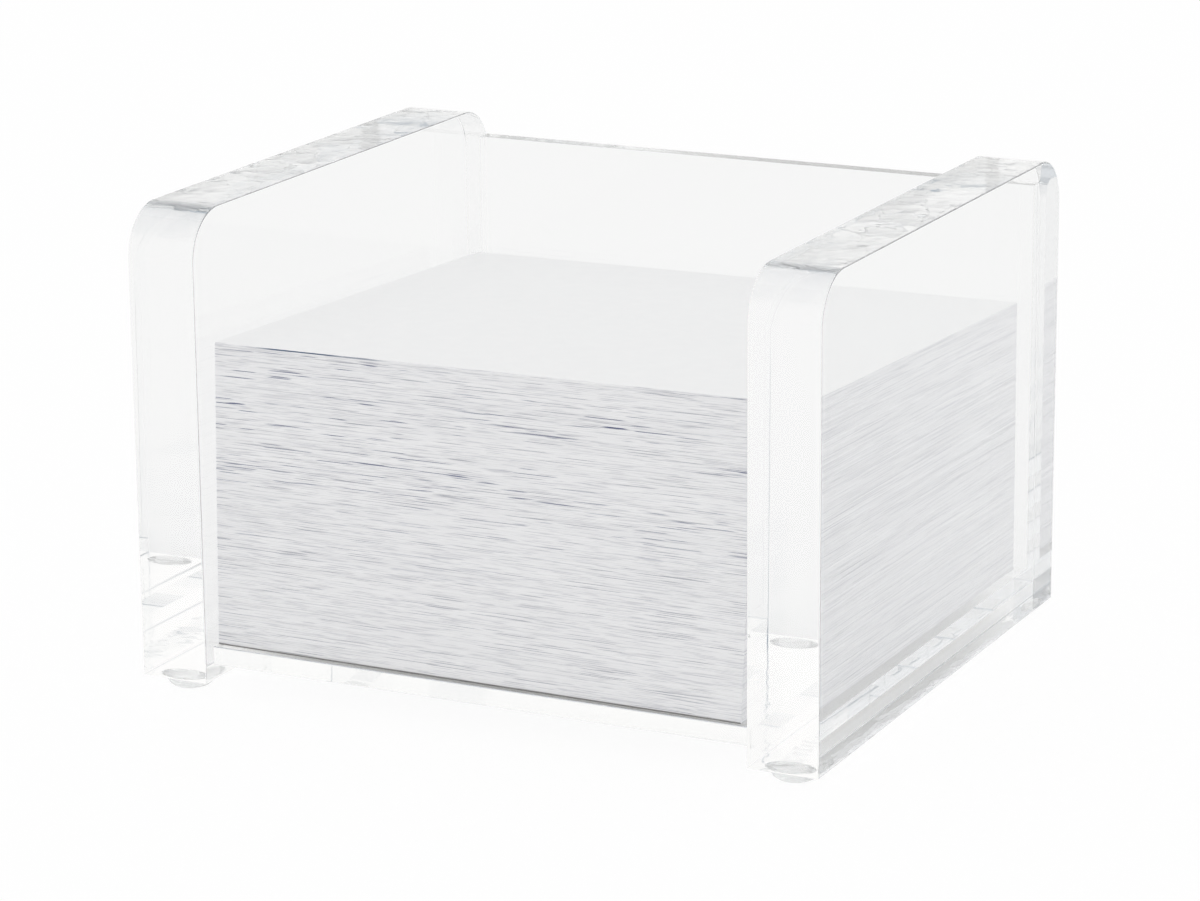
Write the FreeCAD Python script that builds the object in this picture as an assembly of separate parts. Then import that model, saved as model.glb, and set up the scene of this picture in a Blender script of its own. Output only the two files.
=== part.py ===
import FreeCAD, Part
import math
import os
import random

# A clear memo sheet holder: two thick side plates joined by a thin back plate and a thin base plate,
# on four dome feet, with a block of loose square sheets standing between the side plates.
# Millimetres. +X is to the right, +Y to the back, +Z up. The origin is on the surface that the feet
# stand on, under the middle of the holder. The front is open.

# Loose square sheets. More air lies between them at the front, so the block stands higher there.
sheet_width = 90.0
sheet_thickness = 0.087
front_air_gap = 0.0118
rear_air_gap = 0.0026
sheet_count = 500
sheets_per_bundle = 20

# How the block lies: room round it, its lean to the right, how much higher its right side is at the
# top, and the turn of its lowest and top sheet
room_beside = 1.25
room_behind = 1.0
block_front_setback = 1.1
block_left_clearance = 0.4
block_lean_width = 0.6
block_side_rise = 0.4
bottom_turn_deg = -0.35
top_turn_deg = 1.1

# How far a single sheet may lie out of line with the block, either way
stray_width = 0.04
stray_depth = 0.06
stray_turn_deg = 0.05
stray_seed = 11

# Side plates
plate_thickness = 11.6
plate_height = 75.0
plate_corner_radius = 8.0

# Back plate, flush with the rear edges of the side plates
back_thickness = 3.0
back_top_drop = 5.0

# Base plate, set back from the front edges and above the lower edges of the side plates
base_thickness = 3.0
base_front_recess = 2.4
base_lift = 2.5

# Small polished chamfer on the free edges of all four plates
edge_break = 0.2

# Dome feet, one near each end of each side plate: a short upright rim, a round side, and a shallow cone
# that leads to the flat
foot_diameter = 8.0
foot_height = 2.2
foot_side_radius = 2.1
foot_cone_deg = 20.0
foot_inset = 4.9

# Sizes worked out from the ones above
pocket_width = sheet_width + 2 * room_beside
half_pocket = pocket_width / 2
plate_depth = base_front_recess + block_front_setback + sheet_width + room_behind + back_thickness
block_front_height = sheet_count * (sheet_thickness + front_air_gap)
block_rear_height = sheet_count * (sheet_thickness + rear_air_gap)

# Places worked out from the sizes above
plate_bottom = foot_height
plate_top = plate_bottom + plate_height
plate_front = -plate_depth / 2
plate_rear = plate_depth / 2
back_front = plate_rear - back_thickness
base_bottom = plate_bottom + base_lift
base_top = base_bottom + base_thickness
base_front = plate_front + base_front_recess
block_middle_x = -half_pocket + block_left_clearance + sheet_width / 2
block_middle_y = base_front + block_front_setback + sheet_width / 2


def vec(x, y, z):
    return FreeCAD.Vector(x, y, z)


def chamfered(shape, keep):
    """The shape with its edges broken where keep(edge) says so."""
    edges = [edge for edge in shape.Edges if keep(edge)]
    return shape.makeChamfer(edge_break, edges)


def side_plate_outline():
    """Closed outline of a side plate in the YZ plane: square below, rounded above, front and rear."""
    r = plate_corner_radius
    bevel = r * math.sqrt(0.5)
    front_corner = vec(0, plate_front + r - bevel, plate_top - r + bevel)
    rear_corner = vec(0, plate_rear - r + bevel, plate_top - r + bevel)
    low_front = vec(0, plate_front, plate_bottom)
    low_rear = vec(0, plate_rear, plate_bottom)
    front_start = vec(0, plate_front, plate_top - r)
    front_end = vec(0, plate_front + r, plate_top)
    rear_start = vec(0, plate_rear - r, plate_top)
    rear_end = vec(0, plate_rear, plate_top - r)
    edges = [
        Part.LineSegment(low_front, front_start).toShape(),
        Part.Arc(front_start, front_corner, front_end).toShape(),
        Part.LineSegment(front_end, rear_start).toShape(),
        Part.Arc(rear_start, rear_corner, rear_end).toShape(),
        Part.LineSegment(rear_end, low_rear).toShape(),
        Part.LineSegment(low_rear, low_front).toShape(),
    ]
    return Part.Wire(edges)


def side_plate(side):
    """A side plate with every outline edge broken; side is -1 for the left one and 1 for the right one."""
    inner = side * half_pocket
    face = Part.Face(side_plate_outline())
    face.translate(vec(inner, 0, 0))
    solid = face.extrude(vec(side * plate_thickness, 0, 0))
    flat_x = plate_thickness / 2

    def on_a_face(edge):
        box = edge.BoundBox
        return box.XLength < flat_x

    return chamfered(solid, on_a_face)


def back_plate():
    """The back plate reaches from the underside of the base plate to just under the side plates' top."""
    height = plate_top - back_top_drop - base_bottom
    solid = Part.makeBox(pocket_width, back_thickness, height, vec(-half_pocket, back_front, base_bottom))
    top = base_bottom + height

    def along_free_edge(edge):
        box = edge.BoundBox
        long_way = box.XLength > pocket_width / 2
        upper = box.ZMin > top - back_thickness
        lower_rear = box.ZMax < base_top and box.YMin > back_front + back_thickness / 2
        return long_way and (upper or lower_rear)

    return chamfered(solid, along_free_edge)


def base_plate():
    """The base plate butts against the back plate and the inner faces of the side plates."""
    depth = back_front - base_front
    solid = Part.makeBox(pocket_width, depth, base_thickness, vec(-half_pocket, base_front, base_bottom))

    def along_front(edge):
        box = edge.BoundBox
        return box.XLength > pocket_width / 2 and box.YMax < base_front + depth / 2

    return chamfered(solid, along_front)


def foot(side, end):
    """A round foot with a rounded side and a flat to stand on; end is -1 at the front, 1 at the rear."""
    rim = foot_diameter / 2

    def round_side(angle_deg):
        angle = math.radians(angle_deg)
        out = rim - foot_side_radius + foot_side_radius * math.sin(angle)
        return vec(out, 0, foot_side_radius * (1 - math.cos(angle)))

    flat_rim = round_side(0)
    low = round_side(foot_cone_deg)
    middle = round_side((foot_cone_deg + 90) / 2)
    high = round_side(90)
    top_rim = vec(rim, 0, foot_height)
    top_middle = vec(0, 0, foot_height)
    edges = [
        Part.LineSegment(vec(0, 0, 0), flat_rim).toShape(),
        Part.LineSegment(flat_rim, low).toShape(),
        Part.Arc(low, middle, high).toShape(),
        Part.LineSegment(high, top_rim).toShape(),
        Part.LineSegment(top_rim, top_middle).toShape(),
        Part.LineSegment(top_middle, vec(0, 0, 0)).toShape(),
    ]
    solid = Part.Face(Part.Wire(edges)).revolve(vec(0, 0, 0), vec(0, 0, 1), 360)
    x = side * (half_pocket + plate_thickness / 2)
    y = end * (plate_depth / 2 - foot_inset)
    solid.translate(vec(x, y, 0))
    return solid


def sheet(number, draw):
    """One sheet of the block, counted from 0 at the bottom, laid at its own height, tilt, turn and place."""
    share = number / sheet_count
    rear_z = base_top + share * block_rear_height
    front_z = base_top + share * block_front_height
    tilt = math.degrees(math.atan2(rear_z - front_z, sheet_width))
    side_tilt = math.degrees(math.atan2(share * block_side_rise, sheet_width))
    turn = bottom_turn_deg + share * (top_turn_deg - bottom_turn_deg) + draw.uniform(-1, 1) * stray_turn_deg
    out_of_line = vec(draw.uniform(-1, 1) * stray_width, draw.uniform(-1, 1) * stray_depth, 0)
    half = sheet_width / 2
    solid = Part.makeBox(sheet_width, sheet_width, sheet_thickness, vec(-half, -half, 0))
    solid.rotate(vec(0, 0, 0), vec(0, 0, 1), turn)
    solid.translate(out_of_line)
    solid.rotate(vec(0, 0, 0), vec(0, 1, 0), -side_tilt)
    solid.rotate(vec(0, 0, 0), vec(1, 0, 0), tilt)
    solid.translate(vec(block_middle_x + share * block_lean_width, block_middle_y, (rear_z + front_z) / 2))
    return solid


def sheet_block():
    """All sheets from the bottom up."""
    draw = random.Random(stray_seed)
    return [sheet(number, draw) for number in range(sheet_count)]


def export(name, shape):
    shape.exportStep("parts/" + name + ".step")


os.makedirs("parts", exist_ok=True)
for side, side_name in ((-1, "left"), (1, "right")):
    export("side_plate_" + side_name, side_plate(side))
    for end, end_name in ((-1, "front"), (1, "rear")):
        export("foot_" + end_name + "_" + side_name, foot(side, end))
export("back_plate", back_plate())
export("base_plate", base_plate())

sheets = sheet_block()
export("top_sheet", sheets.pop())
bundle_count = math.ceil(sheet_count / sheets_per_bundle)
for bundle in range(bundle_count):
    first = bundle * sheets_per_bundle
    group = sheets[first:first + sheets_per_bundle]
    export("sheet_bundle_{:02d}".format(bundle + 1), Part.makeCompound(group))
print("sheets in the block:", sheet_count)
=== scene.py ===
import math
import random

import bmesh
import bpy
from bpy.props import FloatProperty, FloatVectorProperty, IntProperty, PointerProperty
from mathutils import Matrix, Vector, noise


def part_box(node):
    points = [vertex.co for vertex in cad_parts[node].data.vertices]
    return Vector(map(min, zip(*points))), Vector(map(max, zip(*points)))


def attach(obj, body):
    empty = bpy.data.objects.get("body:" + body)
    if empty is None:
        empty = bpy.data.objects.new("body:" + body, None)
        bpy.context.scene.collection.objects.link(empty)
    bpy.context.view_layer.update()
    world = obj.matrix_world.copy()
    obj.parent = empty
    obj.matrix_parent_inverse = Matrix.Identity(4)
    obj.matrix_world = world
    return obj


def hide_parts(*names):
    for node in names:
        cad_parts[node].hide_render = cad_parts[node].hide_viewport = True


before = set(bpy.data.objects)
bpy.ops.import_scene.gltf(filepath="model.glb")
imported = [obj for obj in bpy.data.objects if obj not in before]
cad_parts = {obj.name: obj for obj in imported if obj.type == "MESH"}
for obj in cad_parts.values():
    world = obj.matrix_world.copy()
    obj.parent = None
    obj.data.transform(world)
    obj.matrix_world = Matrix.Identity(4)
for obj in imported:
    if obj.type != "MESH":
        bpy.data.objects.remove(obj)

bl_info = {
    "name": "Clear Memo Sheet Holder",
    "version": (1, 0, 0),
    "blender": (4, 5, 0),
    "location": "3D View > Sidebar > Memo Holder",
    "description": "Builds a clear acrylic memo sheet holder with its block of loose sheets",
    "category": "Object",
}

# The frame gives the places: metres, +X to the right, +Y to the back, +Z up, origin under the middle
LEFT_LOW, LEFT_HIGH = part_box("side_plate_left")
RIGHT_LOW, RIGHT_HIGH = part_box("side_plate_right")
BACK_LOW, BACK_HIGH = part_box("back_plate")
BASE_LOW, BASE_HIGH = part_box("base_plate")
BUNDLES = sorted(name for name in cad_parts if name.startswith("sheet_bundle_"))
FEET = sorted(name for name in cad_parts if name.startswith("foot_"))


class HolderSizes(bpy.types.PropertyGroup):
    """Sizes of the clear plates and the feet"""

    corner_radius: FloatProperty(
        name="Corner radius",
        description="Round upper corners of the side plates",
        default=0.008,
        unit="LENGTH",
    )
    corner_segments: IntProperty(
        name="Corner segments",
        description="Facets round one upper corner",
        default=64,
    )
    edge_radius: FloatProperty(
        name="Edge radius",
        description="Polished rounding of the free edges",
        default=0.0002,
        unit="LENGTH",
    )
    edge_segments: IntProperty(
        name="Edge segments",
        description="Facets round one polished edge",
        default=3,
    )
    seam_depth: FloatProperty(
        name="Seam depth",
        description="How far a bonded piece reaches into the one that it is bonded to",
        default=0.00001,
        unit="LENGTH",
    )
    foot_side_radius: FloatProperty(
        name="Foot side radius",
        description="Rounding of a foot's side, down to the flat that it stands on",
        default=0.0021,
        unit="LENGTH",
    )
    foot_segments: IntProperty(
        name="Foot segments",
        description="Facets round a foot",
        default=64,
    )
    foot_side_segments: IntProperty(
        name="Foot side segments",
        description="Facets down the round side of a foot",
        default=12,
    )


class SheetSizes(bpy.types.PropertyGroup):
    """Sizes of the loose sheets and how they lie"""

    width: FloatProperty(
        name="Sheet width",
        description="Side of one square sheet",
        default=0.09,
        unit="LENGTH",
    )
    thickness: FloatProperty(
        name="Sheet thickness",
        description="Thickness of one sheet",
        default=0.000087,
        unit="LENGTH",
    )
    count: IntProperty(
        name="Sheets",
        description="Sheets in the block, the top one among them",
        default=500,
    )
    per_bundle: IntProperty(
        name="Sheets per bundle",
        description="Sheets that are kept together as one piece",
        default=20,
    )
    front_height: FloatProperty(
        name="Front height",
        description="Height of the block at its front",
        default=0.0494,
        unit="LENGTH",
    )
    rear_height: FloatProperty(
        name="Rear height",
        description="Height of the block at its rear, where less air lies between the sheets",
        default=0.0448,
        unit="LENGTH",
    )
    side_rise: FloatProperty(
        name="Side rise",
        description="How much higher the right side of the block is at its top",
        default=0.0004,
        unit="LENGTH",
    )
    middle: FloatVectorProperty(
        name="Middle",
        description="Middle of the lowest sheet, to the right and to the back",
        default=(-0.00085, -0.00025),
        subtype="XYZ",
        size=2,
        unit="LENGTH",
    )
    lean: FloatProperty(
        name="Lean",
        description="How far to the right of the lowest sheet the top one lies",
        default=0.0006,
        unit="LENGTH",
    )
    bottom_turn: FloatProperty(
        name="Bottom turn",
        description="Turn of the lowest sheet",
        default=math.radians(-0.35),
        subtype="ANGLE",
    )
    top_turn: FloatProperty(
        name="Top turn",
        description="Turn of the top sheet",
        default=math.radians(1.1),
        subtype="ANGLE",
    )
    stray_width: FloatProperty(
        name="Stray width",
        description="How far a sheet may lie to one side of its place",
        default=0.00004,
        unit="LENGTH",
    )
    stray_depth: FloatProperty(
        name="Stray depth",
        description="How far a sheet may lie before or behind its place",
        default=0.00004,
        unit="LENGTH",
    )
    stray_turn: FloatProperty(
        name="Stray turn",
        description="How far a sheet may be turned from its place",
        default=math.radians(0.05),
        subtype="ANGLE",
    )
    seed: IntProperty(
        name="Seed",
        description="Start of the drawn numbers for the strays and the uneven edges, from 1 up",
        default=11,
    )


def colour_setting(name, description, default):
    """A colour, as one setting of a group."""
    return FloatVectorProperty(
        name=name, description=description, default=default, subtype="COLOR", size=3, min=0.0, max=1.0
    )


class AcrylicLook(bpy.types.PropertyGroup):
    """Finish of the clear plates"""

    tint: colour_setting(
        "Tint", "Colour of light that passes through a surface of the acrylic", (0.992, 0.994, 0.994)
    )
    refraction: FloatProperty(
        name="Refraction index",
        description="How strongly the acrylic bends light",
        default=1.49,
    )
    wave_scale: FloatProperty(
        name="Wave scale",
        description="Waves per metre that polishing left on the edges",
        default=160.0,
    )
    wave_height: FloatProperty(
        name="Wave height",
        description="Height of those waves",
        default=0.0002,
        unit="LENGTH",
    )


class RubberLook(bpy.types.PropertyGroup):
    """Finish of the feet"""

    tint: colour_setting("Tint", "Colour of the soft feet", (0.95, 0.955, 0.955))
    clearness: FloatProperty(name="Clearness", description="1 is clear, 0 is milky", default=0.75)
    unevenness: FloatProperty(
        name="Unevenness", description="Relief of the moulded face", default=0.00001, unit="LENGTH"
    )


class PaperLook(bpy.types.PropertyGroup):
    """Finish of the loose sheets"""

    face_colour: colour_setting("Face colour", "White of a sheet's face", (0.845, 0.847, 0.85))
    fibre_colour: colour_setting(
        "Fibre colour", "White of the denser clouds in the paper", (0.885, 0.887, 0.885)
    )
    edge_colour: colour_setting("Edge colour", "Cooler white of the cut edges", (0.945, 0.945, 0.955))
    # The broad streak colour is also the painted shade on the block's sides
    layer_and_side_shade_colour: colour_setting(
        "Broad streak colour", "Slightly darker layers of sheets", (0.78, 0.785, 0.81)
    )
    fine_colour: colour_setting(
        "Fine streak colour", "Shade in the thin gaps between sheets", (0.44, 0.445, 0.50)
    )
    streak_colour: colour_setting("Streak colour", "Shade in the few wide gaps", (0.07, 0.09, 0.21))
    glint_colour: colour_setting("Glint colour", "Lit rim beside a gap", (1.0, 1.0, 1.0))
    contact_colour: colour_setting(
        "Contact colour", "Shade where the block stands on the base", (0.10, 0.09, 0.08)
    )
    lift_colour: colour_setting(
        "Lift colour", "Shade under the lifted rim of the top sheet", (0.06, 0.11, 0.20)
    )
    line_streaks: FloatProperty(name="Lines", description="Strength of the long thin lines", default=0.9)
    # Painted shade: the short fine streaks darken the cut edges towards the shade of the thin gaps
    short_gap_shade: FloatProperty(name="Grain", description="Strength of the short fine streaks", default=0.4)
    broad_streaks: FloatProperty(name="Layers", description="Strength of the broad layers", default=0.15)
    glints: FloatProperty(name="Glints", description="Strength of the lit rims", default=0.8)
    fibre_height: FloatProperty(
        name="Fibre height", description="Relief of the paper's fibres", default=0.000004, unit="LENGTH"
    )


class StageLook(bpy.types.PropertyGroup):
    """Camera and light"""

    camera_place: FloatVectorProperty(
        name="Camera place",
        description="Where the camera stands",
        default=(0.2878, -0.5871, 0.2139),
        subtype="TRANSLATION",
        size=3,
        unit="LENGTH",
    )
    camera_yaw: FloatProperty(
        name="Camera yaw",
        description="Turn of the view to the left of straight ahead",
        default=math.radians(26.22),
        subtype="ANGLE",
    )
    camera_pitch: FloatProperty(
        name="Camera pitch",
        description="How far the view looks down",
        default=math.radians(15.45),
        subtype="ANGLE",
    )
    camera_roll: FloatProperty(
        name="Camera roll",
        description="Tilt of the view about its own line",
        default=math.radians(-0.47),
        subtype="ANGLE",
    )
    lens: FloatProperty(
        name="Lens",
        description="Focal length in millimetres on a sensor 36 mm wide",
        default=127.34,
    )
    rear_colour: colour_setting(
        "Rear colour", "Studio behind, as the acrylic shows it", (1.0, 0.995, 0.985)
    )
    front_colour: colour_setting(
        "Front colour", "Studio in front, as the acrylic shows it", (0.92, 0.925, 0.93)
    )
    ceiling_colour: colour_setting("Ceiling colour", "Ceiling, as the acrylic shows it", (0.42, 0.46, 0.50))
    dark_colour: colour_setting("Dark colour", "Unlit room beside the camera", (0.20, 0.27, 0.34))
    dark_direction: FloatVectorProperty(
        name="Dark direction",
        description="Where the unlit room lies",
        default=(0.62, -0.74, 0.26),
        subtype="XYZ",
        size=3,
    )
    floor_colour: colour_setting("Floor colour", "Floor, as the acrylic shows it", (1.0, 0.998, 0.99))
    floor_glow: FloatProperty(
        name="Floor glow",
        description="Share of the floor's shadow that doesn't show through acrylic",
        default=0.42,
    )
    under_glow: FloatProperty(
        name="Glow under the holder",
        description="The same share, for the floor under the holder",
        default=0.25,
    )
    glow_reach: FloatProperty(
        name="Glow reach",
        description="How far beside the holder the floor glow begins to be whole",
        default=0.03,
        unit="LENGTH",
    )
    floor_width: FloatProperty(
        name="Floor width",
        description="Side of the square floor",
        default=8.0,
        unit="LENGTH",
    )


def settings(name):
    """One group of settings of the scene."""
    return getattr(bpy.context.scene, "memo_holder_" + name)


def clear_selection():
    """Object mode with nothing selected."""
    if bpy.context.object and bpy.context.object.mode != "OBJECT":
        bpy.ops.object.mode_set(mode="OBJECT")
    bpy.ops.object.select_all(action="DESELECT")


def add_block(name, low, high):
    """A box between two corners, with its place in its mesh."""
    clear_selection()
    bpy.ops.mesh.primitive_cube_add(size=1, location=(low + high) / 2, scale=high - low)
    block = bpy.context.object
    block.name = name
    block.data.name = name
    bpy.ops.object.transform_apply(location=True, rotation=True, scale=True)
    return block


def bevel_edges(piece, wanted, radius, segments):
    """Rounds the edges for which wanted(first corner, second corner) is true."""
    clear_selection()
    bpy.context.view_layer.objects.active = piece
    piece.select_set(True)
    bpy.ops.object.mode_set(mode="EDIT")
    bpy.ops.mesh.select_mode(type="EDGE")
    bpy.ops.mesh.select_all(action="DESELECT")
    mesh = bmesh.from_edit_mesh(piece.data)
    found = 0
    for edge in mesh.edges:
        first, second = edge.verts
        if wanted(first.co, second.co):
            edge.select_set(True)
            found += 1
    bmesh.update_edit_mesh(piece.data)
    if not found:
        raise RuntimeError(piece.name + ": no edge to round")
    bpy.ops.mesh.bevel(offset=radius, segments=segments, affect="EDGES", profile=0.5)
    bpy.ops.object.mode_set(mode="OBJECT")


# Faces that meet at less than this angle are shaded as one, and large flat ones keep their true normals
SMOOTH_BELOW = math.radians(35)
FLAT_WEIGHT = 100

# Places that differ by less than this, in metres, are the same
TOUCH = 1e-6

# How exactly a large cast face looks in its plate's thin direction, and how fast the wave of polishing
# fades down a round corner
CAST_FACING = 0.999
LEVEL_FADE = 4

# Share of that wave on the upper edges of the thick and the thin plates, and on all upright ones
THICK_TOP_WAVE = 1.0
THIN_TOP_WAVE = 0.2
UPRIGHT_WAVE = 0.04
WAVE_DETAIL = 2.0


def polish(piece):
    """Smooth shading over the small roundings, with true normals on the flat faces."""
    clear_selection()
    bpy.context.view_layer.objects.active = piece
    piece.select_set(True)
    bpy.ops.object.shade_smooth_by_angle(angle=SMOOTH_BELOW)
    modifier = piece.modifiers.new("true_flats", "WEIGHTED_NORMAL")
    modifier.keep_sharp = True
    modifier.weight = FLAT_WEIGHT
    bpy.ops.object.modifier_apply(modifier=modifier.name)


def near(a, b):
    """Whether two places are the same."""
    return abs(a - b) < TOUCH


def mark_edges(plate, level_wave):
    """Says for each face how much of the wave of polishing it has: none on the two large cast faces."""
    low, high = (Vector(pick(v.co[i] for v in plate.data.vertices) for i in range(3)) for pick in (min, max))
    size = high - low
    thin = min(range(3), key=lambda axis: size[axis])
    waves = []
    for face in plate.data.polygons:
        cast = abs(face.normal[thin]) > CAST_FACING
        level = face.normal.z ** LEVEL_FADE
        waves.append(0.0 if cast else level_wave * level + UPRIGHT_WAVE * (1 - level))
    plate.data.attributes.new("polish_wave", "FLOAT", "FACE").data.foreach_set("value", waves)


def make_side_plate(name, node, low, high):
    """A thick side plate: round upper corners, square lower ones, every outline edge polished."""
    sizes = settings("holder")
    plate = add_block(name, low, high)

    def upper_corner(a, b):
        return not near(a.x, b.x) and near(a.z, high.z) and near(b.z, high.z)

    def outline(a, b):
        return near(a.x, b.x)

    bevel_edges(plate, upper_corner, sizes.corner_radius, sizes.corner_segments)
    bevel_edges(plate, outline, sizes.edge_radius, sizes.edge_segments)
    polish(plate)
    mark_edges(plate, THICK_TOP_WAVE)
    plate.data.materials.append(acrylic_material())
    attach(plate, "holder")
    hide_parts(node)


class MEMOHOLDER_OT_side_plates(bpy.types.Operator):
    """Add the two thick clear side plates"""

    bl_idname = "memo_holder.side_plates"
    bl_label = "Side Plates"

    def execute(self, context):
        make_side_plate("left_side_plate", "side_plate_left", LEFT_LOW, LEFT_HIGH)
        make_side_plate("right_side_plate", "side_plate_right", RIGHT_LOW, RIGHT_HIGH)
        return {"FINISHED"}


class MEMOHOLDER_OT_back_plate(bpy.types.Operator):
    """Add the thin clear back plate between the side plates"""

    bl_idname = "memo_holder.back_plate"
    bl_label = "Back Plate"

    def execute(self, context):
        sizes = settings("holder")
        seam = Vector((sizes.seam_depth, 0, 0))
        plate = add_block("rear_plate", BACK_LOW - seam, BACK_HIGH + seam)

        def free_edge(a, b):
            level = not near(a.x, b.x)
            upper = near(a.z, BACK_HIGH.z)
            lower_rear = near(a.z, BACK_LOW.z) and near(a.y, BACK_HIGH.y)
            return level and (upper or lower_rear)

        bevel_edges(plate, free_edge, sizes.edge_radius, sizes.edge_segments)
        polish(plate)
        mark_edges(plate, THIN_TOP_WAVE)
        plate.data.materials.append(acrylic_material())
        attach(plate, "holder")
        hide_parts("back_plate")
        return {"FINISHED"}


class MEMOHOLDER_OT_base_plate(bpy.types.Operator):
    """Add the thin clear base plate, bonded to the side plates and the back plate"""

    bl_idname = "memo_holder.base_plate"
    bl_label = "Base Plate"

    def execute(self, context):
        sizes = settings("holder")
        seam = sizes.seam_depth
        low = BASE_LOW - Vector((seam, 0, 0))
        high = BASE_HIGH + Vector((seam, seam, 0))
        plate = add_block("floor_plate", low, high)

        def front_edge(a, b):
            return not near(a.x, b.x) and near(a.y, BASE_LOW.y) and near(b.y, BASE_LOW.y)

        bevel_edges(plate, front_edge, sizes.edge_radius, sizes.edge_segments)
        polish(plate)
        mark_edges(plate, THIN_TOP_WAVE)
        plate.data.materials.append(acrylic_material())
        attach(plate, "holder")
        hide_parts("base_plate")
        return {"FINISHED"}


class MEMOHOLDER_OT_feet(bpy.types.Operator):
    """Add the four clear dome feet under the side plates"""

    bl_idname = "memo_holder.feet"
    bl_label = "Feet"

    def execute(self, context):
        sizes = settings("holder")
        for node in FEET:
            low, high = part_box(node)
            top = high.z + sizes.seam_depth
            clear_selection()
            bpy.ops.mesh.primitive_cylinder_add(
                vertices=sizes.foot_segments,
                radius=(high.x - low.x) / 2,
                depth=top - low.z,
                location=((low.x + high.x) / 2, (low.y + high.y) / 2, (top + low.z) / 2),
            )
            foot = bpy.context.object
            foot.name = node.replace("foot_", "dome_")
            foot.data.name = foot.name
            bpy.ops.object.transform_apply(location=True, rotation=True, scale=True)

            def lower_rim(a, b):
                return near(a.z, low.z) and near(b.z, low.z)

            bevel_edges(foot, lower_rim, sizes.foot_side_radius, sizes.foot_side_segments)
            polish(foot)
            foot.data.materials.append(foot_material())
            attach(foot, "holder")
            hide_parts(node)
        return {"FINISHED"}


# Air between the lowest sheet and the base plate, in metres
LIFT = 0.000005

# Parts of a sheet's cut edge, how far it wanders in metres, waves of that per metre, and the step in the
# noise from one sheet to the next
EDGE_PARTS = 12
EDGE_WANDER = 0.00003
WANDER_WAVES = 90
WANDER_STEP = 7.3


def sheet_places():
    """The place of every sheet, from the bottom up, as a matrix."""
    sizes = settings("sheets")
    draw = random.Random(sizes.seed)
    places = []
    for number in range(sizes.count):
        share = number / sizes.count
        rear = BASE_HIGH.z + share * sizes.rear_height
        front = BASE_HIGH.z + share * sizes.front_height
        tilt = math.atan2(rear - front, sizes.width)
        side_tilt = math.atan2(share * sizes.side_rise, sizes.width)
        turn = sizes.bottom_turn + share * (sizes.top_turn - sizes.bottom_turn)
        turn += draw.uniform(-1, 1) * sizes.stray_turn
        stray = Vector((draw.uniform(-1, 1) * sizes.stray_width, draw.uniform(-1, 1) * sizes.stray_depth, 0))
        across, deep = sizes.middle
        middle = Vector((across + share * sizes.lean, deep, (rear + front) / 2 + LIFT))
        places.append(
            Matrix.Translation(middle)
            @ Matrix.Rotation(tilt, 4, "X")
            @ Matrix.Rotation(-side_tilt, 4, "Y")
            @ Matrix.Translation(stray)
            @ Matrix.Rotation(turn, 4, "Z")
        )
    return places


def make_sheet():
    """One thin square sheet with a few points along each side."""
    sizes = settings("sheets")
    clear_selection()
    bpy.ops.mesh.primitive_grid_add(
        x_subdivisions=EDGE_PARTS, y_subdivisions=EDGE_PARTS, size=sizes.width
    )
    sheet = bpy.context.object
    sheet.name = "one_sheet"
    bpy.ops.object.mode_set(mode="EDIT")
    bpy.ops.mesh.select_all(action="SELECT")
    bpy.ops.mesh.dissolve_faces()
    bpy.ops.mesh.extrude_region_move(
        TRANSFORM_OT_translate={"value": (0, 0, sizes.thickness)}
    )
    bpy.ops.mesh.select_all(action="SELECT")
    bpy.ops.mesh.normals_make_consistent(inside=False)
    bpy.ops.object.mode_set(mode="OBJECT")
    return sheet


def laid_sheet(pattern, place, number):
    """A copy of the pattern sheet at its place, its cut edges a little uneven."""
    copy = bpy.data.objects.new("sheet", pattern.data.copy())
    bpy.context.scene.collection.objects.link(copy)
    for vertex in copy.data.vertices:
        spot = Vector((vertex.co.x * WANDER_WAVES, vertex.co.y * WANDER_WAVES, number * WANDER_STEP))
        wander = noise.noise_vector(spot) * EDGE_WANDER
        vertex.co.x += wander.x
        vertex.co.y += wander.y
    copy.data.transform(place)
    numbers = copy.data.attributes.new("sheet_number", "FLOAT", "FACE")
    numbers.data.foreach_set("value", [number] * len(copy.data.polygons))
    return copy


def join_pieces(pieces, name):
    """All pieces as one named object."""
    clear_selection()
    for piece in pieces:
        piece.select_set(True)
    bpy.context.view_layer.objects.active = pieces[0]
    if len(pieces) > 1:
        bpy.ops.object.join()
    whole = bpy.context.object
    whole.name = name
    whole.data.name = name
    return whole


class MEMOHOLDER_OT_sheets(bpy.types.Operator):
    """Add the loose sheets, bundle by bundle, and the top sheet"""

    bl_idname = "memo_holder.sheets"
    bl_label = "Loose Sheets"

    def execute(self, context):
        sizes = settings("sheets")
        noise.seed_set(sizes.seed)
        pattern = make_sheet()
        paper = paper_material()
        places = sheet_places()
        top_place = places.pop()
        for index, node in enumerate(BUNDLES):
            first = index * sizes.per_bundle
            group = places[first:first + sizes.per_bundle]
            copies = [laid_sheet(pattern, place, first + n) for n, place in enumerate(group)]
            bundle = join_pieces(copies, node.replace("sheet_bundle_", "loose_sheets_"))
            bundle.data.materials.append(paper)
            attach(bundle, "sheet_block")
            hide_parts(node)
        top = join_pieces([laid_sheet(pattern, top_place, sizes.count)], "uppermost_sheet")
        top.data.materials.append(paper)
        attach(top, "top_sheet")
        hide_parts("top_sheet")
        bpy.data.objects.remove(pattern)
        return {"FINISHED"}


def new_material(name):
    """A named material with its node tree, its Principled shader and its output."""
    material = bpy.data.materials.new(name)
    material.use_nodes = True
    return material, material.node_tree, material.node_tree.nodes["Principled BSDF"]


def combine(tree, operation, first, second=None):
    """One step of sums on one or two values; a value is a number or another node's output."""
    step = tree.nodes.new("ShaderNodeMath")
    step.operation = operation
    for socket, value in zip(step.inputs, (first, second)):
        if isinstance(value, (int, float)):
            socket.default_value = value
        elif value is not None:
            tree.links.new(value, socket)
    return step.outputs["Value"]


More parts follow.
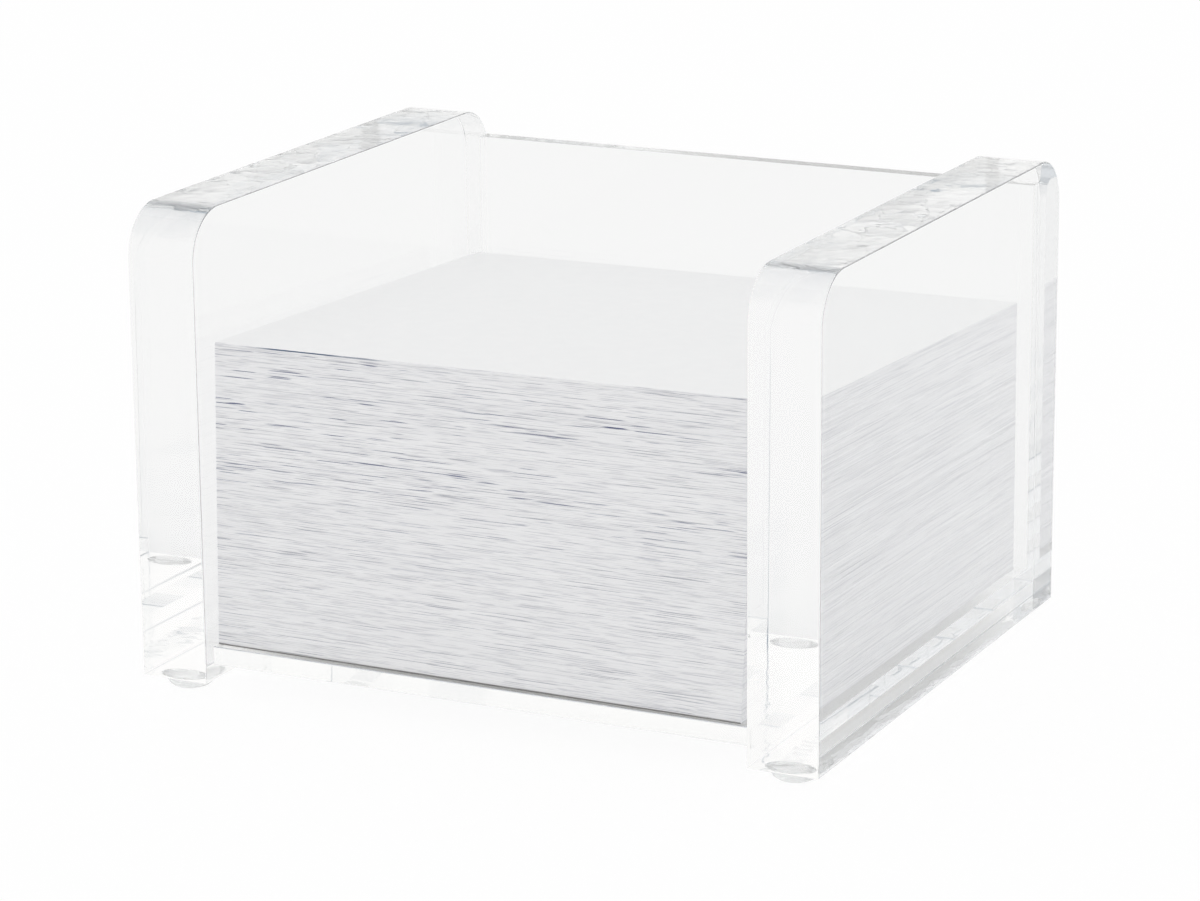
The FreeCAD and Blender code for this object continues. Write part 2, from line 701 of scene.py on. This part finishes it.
def ramp(tree, value, start, finish):
    """0 at the start and before it, 1 at the finish and past it, smooth between."""
    part = tree.nodes.new("ShaderNodeMapRange")
    part.interpolation_type = "SMOOTHSTEP"
    part.inputs["From Min"].default_value = start
    part.inputs["From Max"].default_value = finish
    tree.links.new(value, part.inputs["Value"])
    return part.outputs["Result"]


def stretch_between(tree, value, start, whole_from, whole_to, finish):
    """1 in the middle of a stretch, falling to 0 at both of its ends."""
    return combine(
        tree, "MULTIPLY", ramp(tree, value, start, whole_from), ramp(tree, value, finish, whole_to)
    )


def noise_value(tree, vector, scale, detail):
    """Soft noise at the points of the vector."""
    step = tree.nodes.new("ShaderNodeTexNoise")
    step.inputs["Scale"].default_value = scale
    step.inputs["Detail"].default_value = detail
    tree.links.new(vector, step.inputs["Vector"])
    return step.outputs["Fac"]


def blend(tree, factor, first, second):
    """Mixes two colours; a colour is three numbers or another node's output."""
    mix = tree.nodes.new("ShaderNodeMix")
    mix.data_type = "RGBA"
    tree.links.new(factor, mix.inputs["Factor"])
    for socket, colour in ((mix.inputs[6], first), (mix.inputs[7], second)):
        if isinstance(colour, bpy.types.NodeSocket):
            tree.links.new(colour, socket)
        else:
            socket.default_value = (*colour, 1)
    return mix.outputs[2]


def acrylic_material():
    """Clear polished acrylic: flat cast faces, and sawn edges whose polish left a faint wave."""
    found = bpy.data.materials.get("cast_acrylic")
    if found:
        return found
    look = settings("acrylic")
    material, tree, shader = new_material("cast_acrylic")
    nodes, links = tree.nodes, tree.links
    shader.inputs["Base Color"].default_value = (*look.tint, 1)
    shader.inputs["Roughness"].default_value = 0.0
    shader.inputs["IOR"].default_value = look.refraction
    shader.inputs["Transmission Weight"].default_value = 1.0
    place = nodes.new("ShaderNodeTexCoord")
    edge = nodes.new("ShaderNodeAttribute")
    edge.attribute_name = "polish_wave"
    wave = noise_value(tree, place.outputs["Object"], look.wave_scale, WAVE_DETAIL)
    bump = nodes.new("ShaderNodeBump")
    bump.inputs["Strength"].default_value = 1.0
    bump.inputs["Distance"].default_value = look.wave_height
    links.new(combine(tree, "MULTIPLY", wave, edge.outputs["Fac"]), bump.inputs["Height"])
    links.new(bump.outputs["Normal"], shader.inputs["Normal"])
    return material


# Clouds per metre in a foot's face, their detail, and the noise at which it would be smooth and matt
FOOT_CLOUDS = 900.0
FOOT_DETAIL = 2.0
FOOT_SMOOTH, FOOT_MATT = -1.0, 6.0
FOOT_REFRACTION = 1.5


def foot_material():
    """Clear soft foot, a little milky, with a faint unevenness."""
    found = bpy.data.materials.get("dome_rubber")
    if found:
        return found
    look = settings("rubber")
    material, tree, shader = new_material("dome_rubber")
    nodes, links = tree.nodes, tree.links
    shader.inputs["Base Color"].default_value = (*look.tint, 1)
    shader.inputs["IOR"].default_value = FOOT_REFRACTION
    shader.inputs["Transmission Weight"].default_value = look.clearness
    place = nodes.new("ShaderNodeTexCoord")
    cloud = noise_value(tree, place.outputs["Object"], FOOT_CLOUDS, FOOT_DETAIL)
    links.new(ramp(tree, cloud, FOOT_SMOOTH, FOOT_MATT), shader.inputs["Roughness"])
    bump = nodes.new("ShaderNodeBump")
    bump.inputs["Distance"].default_value = look.unevenness
    links.new(cloud, bump.inputs["Height"])
    links.new(bump.outputs["Normal"], shader.inputs["Normal"])
    return material


# Kinds of streak on the cut edges, the painted shade of gaps between sheets, the painted glints beside them
# and the
# broad darker layers: patches per metre along a sheet, patches per sheet upwards, and the noise at which a
# patch begins and is whole
CROWD = 30, 0.02, 0.36, 0.52
DEEP = 95, 0.56, 0.35, 0.275
LINE = 75, 0.62, 0.375, 0.29
GLINT = 75, 0.62, 0.395, 0.31
SHORT_GAP_STREAKS = 170, 0.95, 0.47, 0.35
BROAD = 22, 0.09, 0.40, 0.62

# On the block's sides the patches per metre are this share of those in front
SIDE_SHARE = 0.35
STREAK_DETAIL = 1.0


def streaks(tree, spot, kind):
    """Long thin patches on the cut edges, longer still on the sides of the block: 1 inside, 0 outside."""
    along, upwards, begins, whole = kind
    stretch = tree.nodes.new("ShaderNodeMapping")
    stretch.inputs["Scale"].default_value = (along, along * SIDE_SHARE, upwards)
    tree.links.new(spot, stretch.inputs["Vector"])
    pattern = noise_value(tree, stretch.outputs["Vector"], 1.0, STREAK_DETAIL)
    return ramp(tree, pattern, begins, whole)


def paper_spot(tree):
    """Where a point lies: across and deep in metres, and upwards as the number of its sheet."""
    place = tree.nodes.new("ShaderNodeTexCoord")
    split = tree.nodes.new("ShaderNodeSeparateXYZ")
    tree.links.new(place.outputs["Object"], split.inputs["Vector"])
    number = tree.nodes.new("ShaderNodeAttribute")
    number.attribute_name = "sheet_number"
    spot = tree.nodes.new("ShaderNodeCombineXYZ")
    tree.links.new(split.outputs["X"], spot.inputs["X"])
    tree.links.new(split.outputs["Y"], spot.inputs["Y"])
    tree.links.new(number.outputs["Fac"], spot.inputs["Z"])
    return spot.outputs["Vector"], split.outputs["X"], split.outputs["Y"], number.outputs["Fac"]


# A lit rim lies this many sheets under its line
GLINT_SHEETS = 1.3

# The deep gaps come in between these two sheets, and grow from the sides of the block to its front
CROWD_FIRST, CROWD_LAST = 60.0, 400.0
CROWD_BESIDE, CROWD_AHEAD = -0.35, 0.9

# Where on the sides, in metres to the back, the lines begin and are whole, and how strongly painted shade
# darkens the sides
LINES_BEHIND, LINES_BEFORE = 0.03, -0.05
SIDE_SHADE = 0.35

# The shade where the block stands on the base plate: it ends above one sheet and is whole under the other
CONTACT_END, CONTACT_WHOLE = 2.9, 1.2
CONTACT_SHARE = 0.85

# The gap under the lifted rim of the top sheet: two stretches in metres across, and the sheets they are on
FIRST_LIFT = -0.0385, -0.0340, -0.0255, -0.0185
SECOND_LIFT = -0.0235, -0.0215, -0.0185, -0.0135
SECOND_SHARE = 0.7
LIFT_ABOVE, LIFT_BELOW = 496.5, 499.5

# A face looks up or ahead when that part of its normal is over this
FACING = 0.5

# Clouds and fibres per metre of paper, and the noise at which it would be smooth and matt
CLOUDS, CLOUD_DETAIL = 420.0, 4.0
FIBRES, FIBRE_DETAIL = 5000.0, 2.0
PAPER_SMOOTH, PAPER_MATT = -1.6, 1.2


def paper_material():
    """White uncoated paper, with thin streaks of shade where two cut edges stand apart."""
    look = settings("paper")
    material, tree, shader = new_material("memo_paper")
    nodes, links = tree.nodes, tree.links
    spot, across, back, number = paper_spot(tree)
    raised = nodes.new("ShaderNodeVectorMath")
    raised.operation = "ADD"
    raised.inputs[1].default_value = (0, 0, GLINT_SHEETS)
    links.new(spot, raised.inputs[0])
    above = raised.outputs["Vector"]
    geometry = nodes.new("ShaderNodeNewGeometry")
    facing = nodes.new("ShaderNodeSeparateXYZ")
    links.new(geometry.outputs["Normal"], facing.inputs["Vector"])
    level = combine(tree, "GREATER_THAN", combine(tree, "ABSOLUTE", facing.outputs["Z"]), FACING)
    ahead = combine(tree, "ABSOLUTE", facing.outputs["Y"])

    crowd = streaks(tree, spot, CROWD)
    crowd = combine(tree, "MULTIPLY", crowd, ramp(tree, number, CROWD_FIRST, CROWD_LAST))
    crowd = combine(tree, "MULTIPLY", crowd, ramp(tree, ahead, CROWD_BESIDE, CROWD_AHEAD))
    deep = combine(tree, "MULTIPLY", streaks(tree, spot, DEEP), crowd)
    kept = combine(tree, "MAXIMUM", ahead, ramp(tree, back, LINES_BEHIND, LINES_BEFORE))
    line = combine(tree, "MULTIPLY", streaks(tree, spot, LINE), look.line_streaks)
    line = combine(tree, "MULTIPLY", line, kept)
    glint = combine(tree, "MULTIPLY", streaks(tree, above, GLINT), look.glints)
    # Painted shade in short fine streaks on the cut edges
    short_shade = combine(tree, "MULTIPLY", streaks(tree, spot, SHORT_GAP_STREAKS), look.short_gap_shade)
    broad = combine(tree, "MULTIPLY", streaks(tree, spot, BROAD), look.broad_streaks)
    # Painted shade on the block's sides: they are darkened towards the broad streak colour
    painted_side_shade = combine(tree, "MULTIPLY", combine(tree, "SUBTRACT", 1.0, ahead), SIDE_SHADE)
    colour = blend(tree, combine(tree, "ADD", broad, painted_side_shade), look.edge_colour, look.layer_and_side_shade_colour)
    colour = blend(tree, short_shade, colour, look.fine_colour)
    colour = blend(tree, glint, colour, look.glint_colour)
    colour = blend(tree, line, colour, look.fine_colour)
    colour = blend(tree, deep, colour, look.streak_colour)

    lowest = combine(tree, "MULTIPLY", ramp(tree, number, CONTACT_END, CONTACT_WHOLE), ahead)
    colour = blend(tree, combine(tree, "MULTIPLY", lowest, CONTACT_SHARE), colour, look.contact_colour)
    lifted = stretch_between(tree, across, *FIRST_LIFT)
    second = stretch_between(tree, across, *SECOND_LIFT)
    lifted = combine(tree, "MAXIMUM", lifted, combine(tree, "MULTIPLY", second, SECOND_SHARE))
    lifted = combine(tree, "MULTIPLY", lifted, combine(tree, "GREATER_THAN", number, LIFT_ABOVE))
    lifted = combine(tree, "MULTIPLY", lifted, combine(tree, "LESS_THAN", number, LIFT_BELOW))
    lifted = combine(tree, "MULTIPLY", lifted, combine(tree, "LESS_THAN", facing.outputs["Y"], -FACING))
    colour = blend(tree, lifted, colour, look.lift_colour)

    place = nodes.new("ShaderNodeTexCoord")
    cloud = noise_value(tree, place.outputs["Object"], CLOUDS, CLOUD_DETAIL)
    face = blend(tree, cloud, look.face_colour, look.fibre_colour)
    colour = blend(tree, level, colour, face)
    links.new(colour, shader.inputs["Base Color"])
    links.new(ramp(tree, cloud, PAPER_SMOOTH, PAPER_MATT), shader.inputs["Roughness"])
    fibre = noise_value(tree, place.outputs["Object"], FIBRES, FIBRE_DETAIL)
    bump = nodes.new("ShaderNodeBump")
    bump.inputs["Distance"].default_value = look.fibre_height
    links.new(fibre, bump.inputs["Height"])
    links.new(bump.outputs["Normal"], shader.inputs["Normal"])
    return material


def straight_through(tree, path):
    """1 for a ray that has met only acrylic, 0 for one that lights paper or goes to the camera directly."""
    clear = combine(tree, "MAXIMUM", path.outputs["Is Glossy Ray"], path.outputs["Is Transmission Ray"])
    unspread = combine(tree, "LESS_THAN", path.outputs["Diffuse Depth"], 0.5)
    return combine(tree, "MULTIPLY", clear, unspread)


def beside_holder(tree):
    """How far a point of the floor lies outside the holder's outline; it is below 0 under the holder."""
    place = tree.nodes.new("ShaderNodeTexCoord")
    split = tree.nodes.new("ShaderNodeSeparateXYZ")
    tree.links.new(place.outputs["Object"], split.inputs["Vector"])
    across = combine(tree, "SUBTRACT", combine(tree, "ABSOLUTE", split.outputs["X"]), RIGHT_HIGH.x)
    deep = combine(tree, "SUBTRACT", combine(tree, "ABSOLUTE", split.outputs["Y"]), RIGHT_HIGH.y)
    return combine(tree, "MAXIMUM", across, deep)


# The floor under its glow, and the share of white over it where the camera looks at it
FLOOR_WHITE = 0.9
FLOOR_ROUGHNESS = 0.9
CAMERA_WHITE = 0.95


def floor_material():
    """White floor: seen as white with a faint shadow, and through the acrylic with more of its shade."""
    look = settings("stage")
    material, tree, shader = new_material("white_floor")
    nodes, links = tree.nodes, tree.links
    shader.inputs["Base Color"].default_value = (FLOOR_WHITE, FLOOR_WHITE, FLOOR_WHITE, 1)
    shader.inputs["Roughness"].default_value = FLOOR_ROUGHNESS
    path = nodes.new("ShaderNodeLightPath")

    def glowing(colour, seen, below):
        """Mixes a glow over what is below it, where the seen value is 1."""
        glow = nodes.new("ShaderNodeEmission")
        glow.inputs["Color"].default_value = (*colour, 1)
        mix = nodes.new("ShaderNodeMixShader")
        links.new(seen, mix.inputs["Fac"])
        links.new(below, mix.inputs[1])
        links.new(glow.outputs["Emission"], mix.inputs[2])
        return mix.outputs["Shader"]

    away = ramp(tree, beside_holder(tree), 0.0, look.glow_reach)
    share = combine(tree, "MULTIPLY", away, look.floor_glow - look.under_glow)
    share = combine(tree, "ADD", share, look.under_glow)
    seen = combine(tree, "MULTIPLY", straight_through(tree, path), share)
    floor = glowing(look.floor_colour, seen, shader.outputs["BSDF"])
    seen = combine(tree, "MULTIPLY", path.outputs["Is Camera Ray"], CAMERA_WHITE)
    floor = glowing((1, 1, 1), seen, floor)
    links.new(floor, nodes["Material Output"].inputs["Surface"])
    return material


# Where the parts of the studio begin and are whole: the front by how far forwards a direction points, the
# ceiling by how far up, and the unlit room by how near to its own direction
FRONT_FROM, FRONT_TO = 0.1, -0.8
CEILING_FROM, CEILING_TO = 0.4, 0.8
ROOM_FROM, ROOM_TO = 0.62, 0.85
WORLD_LIGHT = 0.95


def set_world():
    """White where the camera looks and even for light on paper; the acrylic also sees the dark parts."""
    look = settings("stage")
    world = bpy.data.worlds.new("white_studio")
    world.use_nodes = True
    bpy.context.scene.world = world
    tree = world.node_tree
    nodes, links = tree.nodes, tree.links
    direction = nodes.new("ShaderNodeTexCoord")
    split = nodes.new("ShaderNodeSeparateXYZ")
    links.new(direction.outputs["Generated"], split.inputs["Vector"])
    front = ramp(tree, split.outputs["Y"], FRONT_FROM, FRONT_TO)
    studio = blend(tree, front, look.rear_colour, look.front_colour)
    towards = nodes.new("ShaderNodeVectorMath")
    towards.operation = "DOT_PRODUCT"
    links.new(direction.outputs["Generated"], towards.inputs[0])
    towards.inputs[1].default_value = Vector(look.dark_direction).normalized()
    room = ramp(tree, towards.outputs["Value"], ROOM_FROM, ROOM_TO)
    ceiling = ramp(tree, split.outputs["Z"], CEILING_FROM, CEILING_TO)
    studio = blend(tree, ceiling, studio, look.ceiling_colour)
    studio = blend(tree, room, studio, look.dark_colour)

    path = nodes.new("ShaderNodeLightPath")
    light = nodes["Background"]
    light.inputs["Color"].default_value = (1, 1, 1, 1)
    light.inputs["Strength"].default_value = WORLD_LIGHT
    seen = nodes.new("ShaderNodeBackground")
    links.new(studio, seen.inputs["Color"])
    white = nodes.new("ShaderNodeBackground")
    white.inputs["Color"].default_value = (1, 1, 1, 1)
    through = nodes.new("ShaderNodeMixShader")
    links.new(straight_through(tree, path), through.inputs["Fac"])
    links.new(light.outputs["Background"], through.inputs[1])
    links.new(seen.outputs["Background"], through.inputs[2])
    mix = nodes.new("ShaderNodeMixShader")
    links.new(path.outputs["Is Camera Ray"], mix.inputs["Fac"])
    links.new(through.outputs["Shader"], mix.inputs[1])
    links.new(white.outputs["Background"], mix.inputs[2])
    links.new(mix.outputs["Shader"], nodes["World Output"].inputs["Surface"])


# The lamp over the holder, in metres and watts, and the small drop that keeps the floor off the feet
LAMP_PLACE = (-0.2, 0.3, 1.2)
LAMP_WIDTH = 1.2
LAMP_POWER = 1
FLOOR_DROP = 0.0001

# Where the camera begins to see, in metres, and how often a ray may meet acrylic or paper
NEAREST_SEEN = 0.01
CLEAR_BOUNCES = 96
DIFFUSE_BOUNCES = 8


def add_lamp():
    """A wide soft lamp that looks at the middle of the holder."""
    lamp = bpy.data.lights.new("top_light", "AREA")
    lamp.shape = "SQUARE"
    lamp.size = LAMP_WIDTH
    lamp.energy = LAMP_POWER
    stand = bpy.data.objects.new("top_light", lamp)
    bpy.context.scene.collection.objects.link(stand)
    stand.location = LAMP_PLACE
    stand.rotation_euler = (-Vector(LAMP_PLACE)).to_track_quat("-Z", "Y").to_euler()


class MEMOHOLDER_OT_stage(bpy.types.Operator):
    """Add the white floor, the light and the camera"""

    bl_idname = "memo_holder.stage"
    bl_label = "Stage"

    def execute(self, context):
        look = settings("stage")
        scene = context.scene
        clear_selection()
        bpy.ops.mesh.primitive_plane_add(size=look.floor_width, location=(0, 0, -FLOOR_DROP))
        floor = bpy.context.object
        floor.name = "studio_floor"
        floor.data.materials.append(floor_material())
        set_world()
        add_lamp()
        camera = bpy.data.objects.new("camera", bpy.data.cameras.new("camera"))
        scene.collection.objects.link(camera)
        camera.data.lens = look.lens
        camera.data.clip_start = NEAREST_SEEN
        turn = Matrix.Rotation(look.camera_yaw, 4, "Z")
        turn = turn @ Matrix.Rotation(math.pi / 2 - look.camera_pitch, 4, "X")
        turn = turn @ Matrix.Rotation(look.camera_roll, 4, "Z")
        camera.matrix_world = Matrix.Translation(look.camera_place) @ turn
        scene.camera = camera
        scene.view_settings.view_transform = "Standard"
        scene.cycles.max_bounces = CLEAR_BOUNCES
        scene.cycles.transmission_bounces = CLEAR_BOUNCES
        scene.cycles.glossy_bounces = CLEAR_BOUNCES
        scene.cycles.diffuse_bounces = DIFFUSE_BOUNCES
        scene.cycles.blur_glossy = 0
        return {"FINISHED"}


class MEMOHOLDER_PT_panel(bpy.types.Panel):
    """Lists the pieces in the order in which they are made"""

    bl_idname = "MEMOHOLDER_PT_panel"
    bl_label = "Memo Holder"
    bl_space_type = "VIEW_3D"
    bl_region_type = "UI"
    bl_category = "Memo Holder"

    def draw(self, context):
        column = self.layout.column(align=True)
        for operator in STEPS:
            column.operator(operator.bl_idname)


GROUPS = {
    "holder": HolderSizes,
    "sheets": SheetSizes,
    "acrylic": AcrylicLook,
    "rubber": RubberLook,
    "paper": PaperLook,
    "stage": StageLook,
}
STEPS = (
    MEMOHOLDER_OT_stage,
    MEMOHOLDER_OT_side_plates,
    MEMOHOLDER_OT_back_plate,
    MEMOHOLDER_OT_base_plate,
    MEMOHOLDER_OT_feet,
    MEMOHOLDER_OT_sheets,
)


def register():
    """Makes the settings, the steps and the panel known, and keeps the settings with the scene."""
    for group in (*GROUPS.values(), *STEPS, MEMOHOLDER_PT_panel):
        bpy.utils.register_class(group)
    for name, group in GROUPS.items():
        setattr(bpy.types.Scene, "memo_holder_" + name, PointerProperty(type=group))


def unregister():
    """Takes back what register did."""
    for name in GROUPS:
        delattr(bpy.types.Scene, "memo_holder_" + name)
    for group in (MEMOHOLDER_PT_panel, *reversed(STEPS), *reversed(GROUPS.values())):
        bpy.utils.unregister_class(group)


def main():
    """Builds the scene."""
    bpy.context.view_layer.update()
    register()
    bpy.ops.memo_holder.stage()
    bpy.ops.memo_holder.side_plates()
    bpy.ops.memo_holder.back_plate()
    bpy.ops.memo_holder.base_plate()
    bpy.ops.memo_holder.feet()
    bpy.ops.memo_holder.sheets()


if __name__ == "__main__":
    main()
